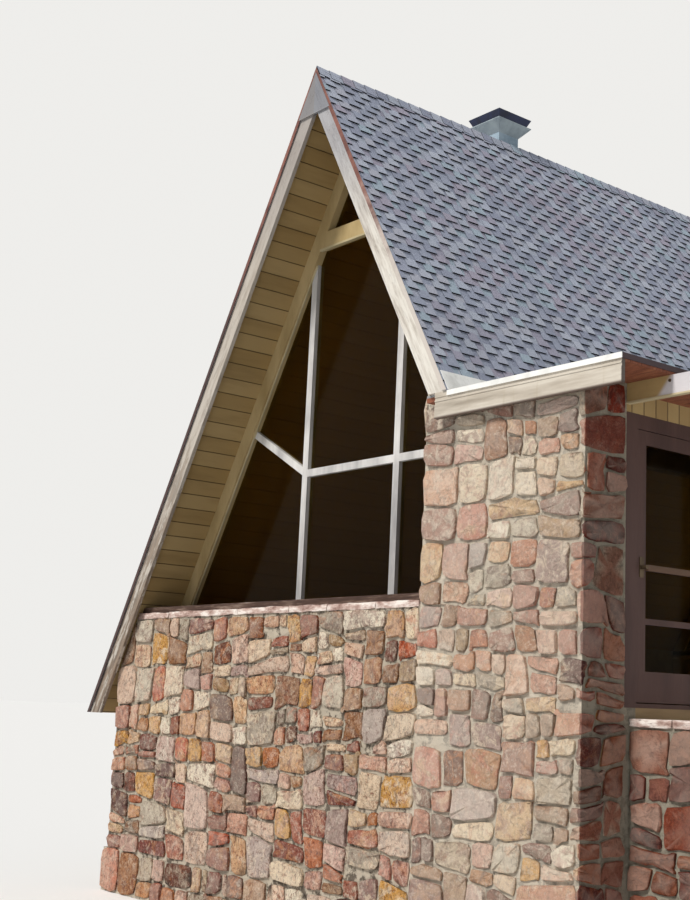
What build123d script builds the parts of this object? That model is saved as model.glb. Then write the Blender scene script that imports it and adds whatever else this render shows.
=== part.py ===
"""Steep A-frame cabin with a glazed gable on a rubble stone base and a flat-roofed wing.

Millimetres. X runs to the right along the front, Y runs back along the ridge, Z is up.
The origin lies under the middle of the front glass, on the level where the walls meet the ground.
"""

from build123d import *
import math
import os

os.makedirs("parts", exist_ok=True)

# Roof form
SLOPE = 1.708
RIDGE_Z = 8004
ROOF_LENGTH = 9600
RAKE_OUT = 110
EAVE_OUT = 302
SHINGLE_T = 22
DECK_T = 98
CAP_LEG = 120
CAP_T = 7
SHINGLE_OVERHANG = 12

# Rake trim and gable timbers
BARGE_W = 181
BARGE_T = 38
GUSSET_H = 466
GUSSET_T = 20
RAFTER_W = 163
RAFTER_T = 120
RAFTER_PROUD = 35
COLLAR_BELOW_RIDGE = 1548
COLLAR_H = 168
COLLAR_T = 95

# Stone walls
WALL_LEFT_X = -3190
WALL_RIGHT_X = 3450
STONE_FRONT_Y = -490
STONE_T = 575
STONE_END_T = 450
SIDE_WALL_T = 350
LOW_WALL_Z = 2795
TALL_WALL_STEP = 38
FOOTING_OUT = 80
FOOTING_H = 430
CAP_STONE_T = 55
CAP_STONE_OUT = 14
LEDGE_T = 60
LEDGE_IN = 35

# Glazing
MULLION_X = 700
MULLION_W = 84
MULLION_T = 80
TRANSOM_RISE = 1286
TRANSOM_H = 72
BAR_LIFT = 30
BAR_SLOPE = 0.544
JAMB_W = 50
GLASS_T = 8

# Flat-roofed wing
FLAT_T = 60
FLAT_OUT = 433
FASCIA_OUT = 110
FASCIA_H = 216
FASCIA_T = 38
FASCIA_START = 140
RIB_DEPTH = 6
RIB_H = 22
RIB_PITCH = 34
RIB_COUNT = 2
EDGE_T = 8
EDGE_H = 42
FLASHING_T = 4
FLASHING_LEG = 150
WING_BEAM_H = 190
WING_BEAM_W = 110
WING_BEAM_IN = 90

# Floor and entrance wall
FLOOR_Z = 2050
FLOOR_T = 100
BOARD_WALL_T = 150
PLINTH_T = 350
FRAME_W = 132
HEAD_H = 112
HEAD_WALL_H = 213
SILL_H = 32

# Door leaf
DOOR_W = 914
DOOR_H = 2030
DOOR_T = 45
DOOR_GAP = 5
SILL_GAP = 8
STILE_W = 98
TOP_RAIL_H = 107
KICK_RAIL_H = 225
MID_RAIL_H = 46
MID_RAIL_Z = 568
BAR_Z = 967
BAR_H = 46
BAR_T = 26
LATCH_D = 30
LATCH_L = 52
PLATE_W = 46
PLATE_H = 150
PLATE_T = 6
HINGE_D = 16
HINGE_H = 90
HINGE_WING = 44
HINGE_INSET = 200
KNUCKLE_GAP = 0.3
WING_GAP = 1

# Porch
PORCH_W = 1850
PORCH_DEPTH = 3040
PORCH_ROOF_T = 62
BEAM_H = 146
BEAM_T = 38
POST_W = 89
POST_IN = 60
STEP_DROP = 81
STEP_OUT = 760
STEP_SIDE = 67

# Chimney
CHASE_W = 290
CHASE_RIGHT_X = -70
CHASE_SETBACK = 2494
CHASE_RISE = 160
SKIRT_H = 113
SKIRT_OUT = 100
SKIRT_LIP = 8
HOOD_GAP = 10
HOOD_H = 85
HOOD_IN = 40

# Values that follow from the sizes above
UPRIGHT = math.hypot(1, SLOPE)
SHINGLE_DROP = SHINGLE_T * UPRIGHT
SOFFIT_DROP = SHINGLE_DROP + DECK_T * UPRIGHT
BARGE_DROP = SHINGLE_DROP + BARGE_W * UPRIGHT
RAFTER_DROP = SOFFIT_DROP + RAFTER_W * UPRIGHT


def slope_x(z, drop):
    """Distance from the ridge line at which the plane lying `drop` below the roof top is at z."""
    return (RIDGE_Z - drop - z) / SLOPE


def slope_z(x, drop):
    """Height of the plane lying `drop` below the roof top at distance x from the ridge line."""
    return RIDGE_Z - drop - SLOPE * abs(x)


# Levels, from the ground up
LEDGE_Z = LOW_WALL_Z + CAP_STONE_T
LEDGE_TOP_Z = LEDGE_Z + LEDGE_T
TRANSOM_Z = LEDGE_TOP_Z + TRANSOM_RISE
STEP_TOP_Z = FLOOR_Z - STEP_DROP
DOOR_Z = FLOOR_Z + SILL_H + SILL_GAP
FRAME_TOP_Z = DOOR_Z + DOOR_H + DOOR_GAP + HEAD_H
FLAT_Z = FRAME_TOP_Z + HEAD_WALL_H
FLAT_TOP_Z = FLAT_Z + FLAT_T
FASCIA_Z = FLAT_TOP_Z - FASCIA_H
BEAM_Z = FLAT_Z - BEAM_H
PORCH_ROOF_Z = FLAT_Z - PORCH_ROOF_T
COLLAR_Z = RIDGE_Z - COLLAR_BELOW_RIDGE
GUSSET_Z = RIDGE_Z - GUSSET_H
EAVE_Z = slope_z(WALL_LEFT_X - EAVE_OUT, SOFFIT_DROP)
CHASE_TOP_Z = RIDGE_Z + CHASE_RISE

# Places across the front
RAFTER_FOOT_X = slope_x(FLAT_TOP_Z, RAFTER_DROP)
TALL_WALL_X = RAFTER_FOOT_X - TALL_WALL_STEP
FLAT_LEFT_X = slope_x(FLAT_Z, RAFTER_DROP)
FLAT_RIGHT_X = WALL_RIGHT_X + FLAT_OUT
PORCH_RIGHT_X = WALL_RIGHT_X + PORCH_W
DOOR_OUT_X = WALL_RIGHT_X - DOOR_GAP

# Places from front to back
ROOF_FRONT_Y = STONE_FRONT_Y - RAKE_OUT
ROOF_BACK_Y = ROOF_FRONT_Y + ROOF_LENGTH
MIDDLE_Y = (ROOF_FRONT_Y + ROOF_BACK_Y) / 2
STONE_BACK_Y = STONE_FRONT_Y + STONE_T
STONE_END_Y = STONE_FRONT_Y + STONE_END_T
BACK_STONE_Y = 2 * MIDDLE_Y - STONE_BACK_Y
FASCIA_FRONT_Y = STONE_FRONT_Y - FASCIA_OUT
DOOR_Y = STONE_END_Y + FRAME_W + DOOR_GAP
FRAME_BACK_Y = DOOR_Y + DOOR_W + DOOR_GAP + FRAME_W
PORCH_BACK_Y = STONE_END_Y + PORCH_DEPTH
CHASE_FRONT_Y = ROOF_FRONT_Y + CHASE_SETBACK


def along_y(points, y0, y1):
    """Extrude a profile drawn as (x, z) points from y0 to y1."""
    face = make_face(Polyline(*[(x, 0, z) for x, z in points], close=True))
    return Pos(0, y0, 0) * extrude(face, amount=y1 - y0, dir=(0, 1, 0))


def box(x0, x1, y0, y1, z0, z1):
    """A box between two corners."""
    size = Box(x1 - x0, y1 - y0, z1 - z0)
    return Pos((x0 + x1) / 2, (y0 + y1) / 2, (z0 + z1) / 2) * size


def to_back(shape):
    """The same piece at the other gable, mirrored about the middle of the ridge."""
    return mirror(shape, Plane.XZ.offset(-MIDDLE_Y))


def save(name, shape):
    """Write one piece as parts/NAME.step."""
    export_step(shape, f"parts/{name}.step")


def roof_band(side, drop0, drop1, foot_z, y0, y1):
    """A sloping layer of one roof side between two depths, mitred at the ridge."""
    points = [
        (0, slope_z(0, drop0)),
        (side * slope_x(foot_z, drop0), foot_z),
        (side * slope_x(foot_z, drop1), foot_z),
        (0, slope_z(0, drop1)),
    ]
    return along_y(points, y0, y1)


# Roof slopes: the left one runs down past the wall, the right one stops on the flat roof
DECK_Y = (ROOF_FRONT_Y + BARGE_T, ROOF_BACK_Y - BARGE_T)
SHINGLE_Y = (ROOF_FRONT_Y - SHINGLE_OVERHANG, ROOF_BACK_Y + SHINGLE_OVERHANG)
save("left_roof_deck", roof_band(-1, SHINGLE_DROP, SOFFIT_DROP, EAVE_Z, *DECK_Y))
save("right_roof_deck", roof_band(1, SHINGLE_DROP, SOFFIT_DROP, FLAT_TOP_Z, *DECK_Y))
save("left_shingles", roof_band(-1, 0, SHINGLE_DROP, EAVE_Z, *SHINGLE_Y))
save("right_shingles", roof_band(1, 0, SHINGLE_DROP, FLAT_TOP_Z + FLASHING_T, *SHINGLE_Y))

cap_foot_x = CAP_LEG / UPRIGHT
cap_profile = [
    (0, RIDGE_Z + CAP_T * UPRIGHT),
    (cap_foot_x, slope_z(cap_foot_x, 0) + CAP_T * UPRIGHT),
    (cap_foot_x, slope_z(cap_foot_x, 0)),
    (0, RIDGE_Z),
    (-cap_foot_x, slope_z(cap_foot_x, 0)),
    (-cap_foot_x, slope_z(cap_foot_x, 0) + CAP_T * UPRIGHT),
]
save("ridge_cap", along_y(cap_profile, *SHINGLE_Y))

# Barge boards with the triangular plate over their joint; the right one stands on the flat roof
front_barge_y = (ROOF_FRONT_Y, ROOF_FRONT_Y + BARGE_T)
left_barge = roof_band(-1, SHINGLE_DROP, BARGE_DROP, EAVE_Z, *front_barge_y)
right_barge = roof_band(1, SHINGLE_DROP, BARGE_DROP, FLAT_TOP_Z, *front_barge_y)
gusset_x = slope_x(GUSSET_Z, SHINGLE_DROP)
gusset = along_y(
    [(0, RIDGE_Z - SHINGLE_DROP), (gusset_x, GUSSET_Z), (-gusset_x, GUSSET_Z)],
    ROOF_FRONT_Y - GUSSET_T,
    ROOF_FRONT_Y,
)

# Timbers in the plane of the glass
rafter_y = (-RAFTER_PROUD, RAFTER_T - RAFTER_PROUD)
left_rafter = roof_band(-1, SOFFIT_DROP, RAFTER_DROP, LEDGE_TOP_Z, *rafter_y)
right_rafter = roof_band(1, SOFFIT_DROP, RAFTER_DROP, FLAT_TOP_Z, *rafter_y)
collar_low_x = slope_x(COLLAR_Z, RAFTER_DROP)
collar_top_x = slope_x(COLLAR_Z + COLLAR_H, RAFTER_DROP)
collar = along_y(
    [
        (-collar_low_x, COLLAR_Z),
        (collar_low_x, COLLAR_Z),
        (collar_top_x, COLLAR_Z + COLLAR_H),
        (-collar_top_x, COLLAR_Z + COLLAR_H),
    ],
    -RAFTER_PROUD,
    COLLAR_T - RAFTER_PROUD,
)

# Stone walls, cut to the soffit on the left and stepped up to the flat roof on the right
low_corner_x = slope_x(LOW_WALL_Z, SOFFIT_DROP)
footing_edge = [
    (WALL_LEFT_X, slope_z(WALL_LEFT_X, SOFFIT_DROP)),
    (WALL_LEFT_X, FOOTING_H),
    (WALL_LEFT_X - FOOTING_OUT, FOOTING_H),
    (WALL_LEFT_X - FOOTING_OUT, 0),
]
low_wall_profile = footing_edge + [
    (TALL_WALL_X, 0),
    (TALL_WALL_X, LOW_WALL_Z),
    (-low_corner_x, LOW_WALL_Z),
]
tall_wall_profile = [
    (TALL_WALL_X, 0),
    (WALL_RIGHT_X, 0),
    (WALL_RIGHT_X, FLAT_Z),
    (FLAT_LEFT_X, FLAT_Z),
    (FLAT_LEFT_X, FLAT_TOP_Z),
    (RAFTER_FOOT_X, FLAT_TOP_Z),
    (TALL_WALL_X, slope_z(TALL_WALL_X, RAFTER_DROP)),
]
front_low_wall = along_y(low_wall_profile, STONE_FRONT_Y, STONE_BACK_Y)
front_tall_wall = along_y(tall_wall_profile, STONE_FRONT_Y, STONE_BACK_Y)
rebate_x = WALL_RIGHT_X - BOARD_WALL_T
rebate = box(rebate_x, WALL_RIGHT_X + 1, STONE_END_Y, STONE_BACK_Y + 1, FLOOR_Z, FLAT_TOP_Z)
front_tall_wall -= rebate

side_wall_in_x = WALL_LEFT_X + SIDE_WALL_T
left_wall = along_y(
    footing_edge
    + [(side_wall_in_x, 0), (side_wall_in_x, slope_z(side_wall_in_x, SOFFIT_DROP))],
    STONE_BACK_Y,
    BACK_STONE_Y,
)


def ledge_layer(z0, z1, y0, y1):
    """A flat course on the low wall, its left end cut to the soffit."""
    return along_y(
        [
            (-slope_x(z0, SOFFIT_DROP), z0),
            (TALL_WALL_X, z0),
            (TALL_WALL_X, z1),
            (-slope_x(z1, SOFFIT_DROP), z1),
        ],
        y0,
        y1,
    )


cap_stones = ledge_layer(LOW_WALL_Z, LEDGE_Z, STONE_FRONT_Y - CAP_STONE_OUT, STONE_BACK_Y)
ledge = ledge_layer(LEDGE_Z, LEDGE_TOP_Z, STONE_FRONT_Y + LEDGE_IN, STONE_BACK_Y)

# Glazing frame: two mullions, a level transom, and the inclined bar of the left bay
half = MULLION_W / 2


def mullion(x):
    """An upright from the ledge to the underside of the rafter."""
    return along_y(
        [
            (x - half, LEDGE_TOP_Z),
            (x + half, LEDGE_TOP_Z),
            (x + half, slope_z(x + half, RAFTER_DROP)),
            (x - half, slope_z(x - half, RAFTER_DROP)),
        ],
        0,
        MULLION_T,
    )


transom_z0 = TRANSOM_Z - TRANSOM_H / 2
transom_z1 = TRANSOM_Z + TRANSOM_H / 2
center_transom = box(half - MULLION_X, MULLION_X - half, 0, MULLION_T, transom_z0, transom_z1)
right_transom = box(MULLION_X + half, TALL_WALL_X - JAMB_W, 0, MULLION_T, transom_z0, transom_z1)
right_jamb = along_y(
    [
        (TALL_WALL_X - JAMB_W, LEDGE_TOP_Z),
        (TALL_WALL_X, LEDGE_TOP_Z),
        (TALL_WALL_X, slope_z(TALL_WALL_X, RAFTER_DROP)),
        (TALL_WALL_X - JAMB_W, slope_z(TALL_WALL_X - JAMB_W, RAFTER_DROP)),
    ],
    0,
    MULLION_T,
)
bar_inner_z = TRANSOM_Z + BAR_LIFT
bar_half = TRANSOM_H / 2 * math.hypot(1, BAR_SLOPE)


def on_bar(shift):
    """Where a line beside the inclined bar's middle meets the underside of the rafter."""
    z_at_mullion = bar_inner_z + shift
    level = RIDGE_Z - RAFTER_DROP - z_at_mullion + BAR_SLOPE * (MULLION_X + half)
    x = level / (SLOPE + BAR_SLOPE)
    return (-x, slope_z(x, RAFTER_DROP))


left_bar = along_y(
    [
        (-MULLION_X - half, bar_inner_z - bar_half),
        (-MULLION_X - half, bar_inner_z + bar_half),
        on_bar(bar_half),
        on_bar(-bar_half),
    ],
    0,
    MULLION_T,
)
window_frame = mullion(-MULLION_X) + mullion(MULLION_X)
window_frame += center_transom
window_frame += right_transom
window_frame += right_jamb
window_frame += left_bar

glass_y = (MULLION_T / 2, MULLION_T / 2 + GLASS_T)
sheet = along_y(
    [
        (0, RIDGE_Z - RAFTER_DROP),
        (TALL_WALL_X, slope_z(TALL_WALL_X, RAFTER_DROP)),
        (TALL_WALL_X, LEDGE_TOP_Z),
        (-slope_x(LEDGE_TOP_Z, RAFTER_DROP), LEDGE_TOP_Z),
    ],
    *glass_y,
)
glass = sheet - window_frame
glass = glass - collar

gable = {
    "left_barge": left_barge,
    "right_barge": right_barge,
    "gusset": gusset,
    "left_rafter": left_rafter,
    "right_rafter": right_rafter,
    "collar": collar,
    "cap_stones": cap_stones,
    "ledge": ledge,
    "window_frame": window_frame,
    "glass": glass,
}
for name, shape in gable.items():
    save("front_" + name, shape)
    save("back_" + name, to_back(shape))

save("front_low_wall", front_low_wall)
save("front_tall_wall", front_tall_wall)
save("back_wall", to_back(front_low_wall + front_tall_wall))
save("left_wall", left_wall)

# Flat roof of the wing
fascia_back_y = FASCIA_FRONT_Y + FASCIA_T
flat_y = (fascia_back_y, 2 * MIDDLE_Y - fascia_back_y)
save("flat_roof", box(FLAT_LEFT_X, FLAT_RIGHT_X, *flat_y, FLAT_Z, FLAT_TOP_Z))
fascia_x = FLAT_LEFT_X + FASCIA_START
front_fascia = box(fascia_x, FLAT_RIGHT_X, FASCIA_FRONT_Y, fascia_back_y, FASCIA_Z, FLAT_TOP_Z)
for i in range(RIB_COUNT):
    rib_z = FLAT_TOP_Z - EDGE_H - RIB_H - i * RIB_PITCH
    front_fascia -= box(
        fascia_x - 1,
        FLAT_RIGHT_X + 1,
        FASCIA_FRONT_Y - 1,
        FASCIA_FRONT_Y + RIB_DEPTH,
        rib_z,
        rib_z + RIB_H,
    )
save("front_fascia", front_fascia)
save("back_fascia", to_back(front_fascia))

# Angle flashing where the shingles end on the flat roof
flash_x = slope_x(FLAT_TOP_Z, SHINGLE_DROP)
flashing = box(flash_x, flash_x + FLASHING_LEG, *flat_y, FLAT_TOP_Z, FLAT_TOP_Z + FLASHING_T)
save("slope_flashing", flashing)

# Metal edge round the flat roof
edge_y = (FASCIA_FRONT_Y - EDGE_T, 2 * MIDDLE_Y - FASCIA_FRONT_Y + EDGE_T)
edge_x = slope_x(FLAT_TOP_Z, 0)
edge_plan = box(edge_x, FLAT_RIGHT_X + EDGE_T, *edge_y, FLAT_TOP_Z - EDGE_H, FLAT_TOP_Z)
edge_core = box(
    edge_x - 1,
    FLAT_RIGHT_X,
    FASCIA_FRONT_Y,
    2 * MIDDLE_Y - FASCIA_FRONT_Y,
    FLAT_TOP_Z - EDGE_H,
    FLAT_TOP_Z,
)
save("roof_edge", edge_plan - edge_core)

# Beam that carries the foot of the right slope
wing_beam_x = (FLAT_LEFT_X + WING_BEAM_IN, FLAT_LEFT_X + WING_BEAM_IN + WING_BEAM_W)
wing_beam = box(*wing_beam_x, STONE_BACK_Y, BACK_STONE_Y, FLAT_Z - WING_BEAM_H, FLAT_Z)
save("wing_beam", wing_beam)

# Floor and the wall with the entrance
board_in_x = WALL_RIGHT_X - BOARD_WALL_T
floor = box(side_wall_in_x, WALL_RIGHT_X, STONE_BACK_Y, BACK_STONE_Y, FLOOR_Z - FLOOR_T, FLOOR_Z)
save("floor", floor)
plinth_x = (WALL_RIGHT_X - PLINTH_T, WALL_RIGHT_X)
save("right_plinth", box(*plinth_x, STONE_BACK_Y, BACK_STONE_Y, 0, FLOOR_Z - FLOOR_T))
board_back_y = 2 * MIDDLE_Y - STONE_END_Y
save("right_wall", box(board_in_x, WALL_RIGHT_X, FRAME_BACK_Y, board_back_y, FLOOR_Z, FLAT_Z))
head_wall = box(board_in_x, WALL_RIGHT_X, STONE_END_Y, FRAME_BACK_Y, FRAME_TOP_Z, FLAT_Z)
save("door_head_wall", head_wall)

frame_x = (board_in_x, WALL_RIGHT_X)
door_frame = box(*frame_x, STONE_END_Y, FRAME_BACK_Y, FLOOR_Z, FRAME_TOP_Z)
door_frame -= box(
    frame_x[0] - 1,
    frame_x[1] + 1,
    DOOR_Y - DOOR_GAP,
    DOOR_Y + DOOR_W + DOOR_GAP,
    FLOOR_Z + SILL_H,
    DOOR_Z + DOOR_H + DOOR_GAP,
)

# Door leaf with three panes, the push bar across it and the latch at the front stile
leaf_x = (DOOR_OUT_X - DOOR_T, DOOR_OUT_X)
leaf = box(*leaf_x, DOOR_Y, DOOR_Y + DOOR_W, DOOR_Z, DOOR_Z + DOOR_H)
pane_y = (DOOR_Y + STILE_W, DOOR_Y + DOOR_W - STILE_W)
pane_rows = [
    (DOOR_Z + KICK_RAIL_H, DOOR_Z + MID_RAIL_Z),
    (DOOR_Z + MID_RAIL_Z + MID_RAIL_H, DOOR_Z + BAR_Z),
    (DOOR_Z + BAR_Z + BAR_H, DOOR_Z + DOOR_H - TOP_RAIL_H),
]
panes = None
for z0, z1 in pane_rows:
    leaf -= box(leaf_x[0] - 1, leaf_x[1] + 1, *pane_y, z0, z1)
    pane = box(leaf_x[0] + DOOR_T / 2, leaf_x[0] + DOOR_T / 2 + GLASS_T, *pane_y, z0, z1)
    panes = pane if panes is None else panes + pane
save("door_glass", panes)

bar_z = DOOR_Z + BAR_Z + BAR_H / 2
latch_y = DOOR_Y + STILE_W / 2
plate_y = (latch_y - PLATE_W / 2, latch_y + PLATE_W / 2)
plate_z = (bar_z - PLATE_H / 2, bar_z + PLATE_H / 2)
latch_plate = box(DOOR_OUT_X, DOOR_OUT_X + PLATE_T, *plate_y, *plate_z)
latch_knob = Pos(DOOR_OUT_X + PLATE_T, latch_y, bar_z) * Rot(0, 90, 0) * Cylinder(
    LATCH_D / 2, LATCH_L, align=(Align.CENTER, Align.CENTER, Align.MIN)
)
save("door_latch", latch_plate + latch_knob)
push_bar = box(
    DOOR_OUT_X,
    DOOR_OUT_X + BAR_T,
    DOOR_Y + STILE_W,
    DOOR_Y + DOOR_W - STILE_W / 2,
    DOOR_Z + BAR_Z,
    DOOR_Z + BAR_Z + BAR_H,
)
save("push_bar", push_bar)

# Hinges: the frame carries the lower knuckle and the pin, the leaf the upper knuckle
hinge_x = WALL_RIGHT_X + HINGE_D / 2
hinge_y = DOOR_Y + DOOR_W + DOOR_GAP / 2
hinge_levels = [DOOR_Z + HINGE_INSET, DOOR_Z + DOOR_H / 2, DOOR_Z + DOOR_H - HINGE_INSET]
knuckle = Cylinder(HINGE_D / 2, HINGE_H / 2, align=(Align.CENTER, Align.CENTER, Align.MIN))
for z in hinge_levels:
    low_z = z - HINGE_H / 2
    top_z = z + KNUCKLE_GAP
    low_wing_y = (hinge_y + WING_GAP, hinge_y + HINGE_WING)
    top_wing_y = (hinge_y - HINGE_WING, hinge_y - WING_GAP)
    door_frame += Pos(hinge_x, hinge_y, low_z) * knuckle
    door_frame += box(WALL_RIGHT_X, hinge_x, *low_wing_y, low_z, z)
    leaf += Pos(hinge_x, hinge_y, top_z) * knuckle
    leaf += box(DOOR_OUT_X, hinge_x, *top_wing_y, top_z, top_z + HINGE_H / 2)
save("door_frame", door_frame)
save("entrance_door", leaf)

# Porch: the beam under the flat roof runs on past the door, with the step below
beam_y = (STONE_END_Y, STONE_END_Y + BEAM_T)
save("porch_beam", box(WALL_RIGHT_X, PORCH_RIGHT_X, *beam_y, BEAM_Z, FLAT_Z))
porch_back_y = (PORCH_BACK_Y - BEAM_T, PORCH_BACK_Y)
save("porch_back_beam", box(WALL_RIGHT_X, PORCH_RIGHT_X, *porch_back_y, BEAM_Z, FLAT_Z))
porch_roof = box(WALL_RIGHT_X, PORCH_RIGHT_X, beam_y[1], porch_back_y[0], PORCH_ROOF_Z, FLAT_Z)
save("porch_roof", porch_roof)
post_x = (PORCH_RIGHT_X - POST_IN - POST_W, PORCH_RIGHT_X - POST_IN)
save("front_porch_post", box(*post_x, beam_y[0], beam_y[0] + POST_W, 0, BEAM_Z))
save("back_porch_post", box(*post_x, porch_back_y[1] - POST_W, porch_back_y[1], 0, BEAM_Z))
step = box(
    WALL_RIGHT_X,
    WALL_RIGHT_X + STEP_OUT,
    DOOR_Y - STEP_SIDE,
    DOOR_Y + DOOR_W + STEP_SIDE,
    0,
    STEP_TOP_Z,
)
save("entrance_step", step)

# Chimney: sheet-metal chase on the left slope, flared skirt, and the hood above a narrow gap
chase_left_x = CHASE_RIGHT_X - CHASE_W
chase = along_y(
    [
        (CHASE_RIGHT_X, slope_z(CHASE_RIGHT_X, 0)),
        (CHASE_RIGHT_X, CHASE_TOP_Z),
        (chase_left_x, CHASE_TOP_Z),
        (chase_left_x, slope_z(chase_left_x, 0)),
    ],
    CHASE_FRONT_Y,
    CHASE_FRONT_Y + CHASE_W,
)
save("chimney_chase", chase)

chimney_at = (CHASE_RIGHT_X - CHASE_W / 2, CHASE_FRONT_Y + CHASE_W / 2)


def frustum(side0, side1, z0, z1):
    """A square frustum centred on the chimney, lofted from side0 to side1."""
    low = Pos(*chimney_at, z0) * Rectangle(side0, side0)
    high = Pos(*chimney_at, z1) * Rectangle(side1, side1)
    return loft([low, high])


skirt_side = CHASE_W + 2 * SKIRT_OUT
skirt_z = CHASE_TOP_Z + SKIRT_H
skirt = frustum(CHASE_W, skirt_side, CHASE_TOP_Z, skirt_z)
skirt += frustum(skirt_side, skirt_side, skirt_z, skirt_z + SKIRT_LIP)
save("chimney_skirt", skirt)
hood_side = skirt_side - 2 * HOOD_IN
hood_z = skirt_z + SKIRT_LIP + HOOD_GAP
hood = frustum(CHASE_W, CHASE_W, skirt_z + SKIRT_LIP, hood_z)
hood += frustum(hood_side, skirt_side, hood_z, hood_z + HOOD_H)
save("chimney_hood", hood)
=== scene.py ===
"""A steep A-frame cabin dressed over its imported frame: stones, shingles, trim, metal and paint."""

import math
import random

import bmesh
import bpy
from mathutils import Matrix, Vector


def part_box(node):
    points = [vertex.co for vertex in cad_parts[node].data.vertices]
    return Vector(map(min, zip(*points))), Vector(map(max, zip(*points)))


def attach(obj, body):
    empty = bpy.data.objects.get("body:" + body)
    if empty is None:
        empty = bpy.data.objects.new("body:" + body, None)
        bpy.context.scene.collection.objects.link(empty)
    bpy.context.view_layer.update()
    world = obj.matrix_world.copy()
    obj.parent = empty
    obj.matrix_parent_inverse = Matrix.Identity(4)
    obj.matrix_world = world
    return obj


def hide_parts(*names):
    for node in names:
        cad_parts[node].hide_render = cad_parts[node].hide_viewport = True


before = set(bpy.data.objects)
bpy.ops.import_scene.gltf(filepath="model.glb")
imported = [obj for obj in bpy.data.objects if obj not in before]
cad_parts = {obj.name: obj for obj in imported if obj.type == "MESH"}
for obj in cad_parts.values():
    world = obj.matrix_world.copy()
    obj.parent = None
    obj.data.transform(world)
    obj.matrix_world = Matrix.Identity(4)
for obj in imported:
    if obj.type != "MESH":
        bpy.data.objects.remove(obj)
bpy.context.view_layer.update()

# Sizes that repeat the frame's, in metres
SLOPE = 1.708
UPRIGHT = math.hypot(1, SLOPE)
RIDGE_Z = 8.004
SHINGLE_DROP = 0.022 * UPRIGHT
SOFFIT_DROP = SHINGLE_DROP + 0.098 * UPRIGHT
RAFTER_DROP = SOFFIT_DROP + 0.163 * UPRIGHT
EAVE_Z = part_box("left_roof_deck")[0].z
FLAT_TOP_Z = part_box("flat_roof")[1].z
FLAT_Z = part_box("flat_roof")[0].z
ROOF_Y = (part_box("left_shingles")[0].y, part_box("left_shingles")[1].y)
FRONT_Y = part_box("front_tall_wall")[0].y
BACK_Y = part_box("back_wall")[1].y
LEFT_X = -3.19
RIGHT_X = 3.45
LOW_WALL_Z = 2.795
TALL_WALL_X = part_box("front_tall_wall")[0].x
TALL_EDGE_X = TALL_WALL_X - 0.03
FOOTING_OUT = 0.08
FOOTING_H = 0.43
HINGE_Y = 1.0135
COURSE = 0.0955
QUARTER = math.pi / 2


def roof_x(z, drop):
    """Distance from the ridge line at which the plane lying `drop` below the roof top is at z."""
    return (RIDGE_Z - drop - z) / SLOPE


# ---------------------------------------------------------------- paint


class Value:
    """A socket of a paint, used in sums like a number."""

    def __init__(self, paint, socket):
        self.paint = paint
        self.socket = socket

    def do(self, operation, *terms):
        sockets = dict(enumerate(terms))
        return self.paint.add("Math", {"operation": operation}, sockets)

    def __add__(self, other):
        return self.do("ADD", self, other)

    __radd__ = __add__

    def __mul__(self, other):
        return self.do("MULTIPLY", self, other)

    __rmul__ = __mul__

    def __sub__(self, other):
        return self.do("SUBTRACT", self, other)

    def __rsub__(self, other):
        return self.do("SUBTRACT", other, self)

    def __truediv__(self, other):
        return self.do("DIVIDE", self, other)

    def __gt__(self, other):
        return self.do("GREATER_THAN", self, other)

    def __lt__(self, other):
        return self.do("LESS_THAN", self, other)

    def __mod__(self, other):
        return self.do("FLOORED_MODULO", self, other)

    def __abs__(self):
        return self.do("ABSOLUTE", self)

    def floor(self):
        return self.do("FLOOR", self)

    def least(self, other):
        return self.do("MINIMUM", self, other)

    def most(self, other):
        return self.do("MAXIMUM", self, other)

    def step(self, low, high):
        """0 below low and 1 above high, with a soft change between."""
        sockets = {"Value": self, "From Min": low, "From Max": high}
        return self.paint.add("MapRange", {"interpolation_type": "SMOOTHSTEP"}, sockets)


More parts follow.
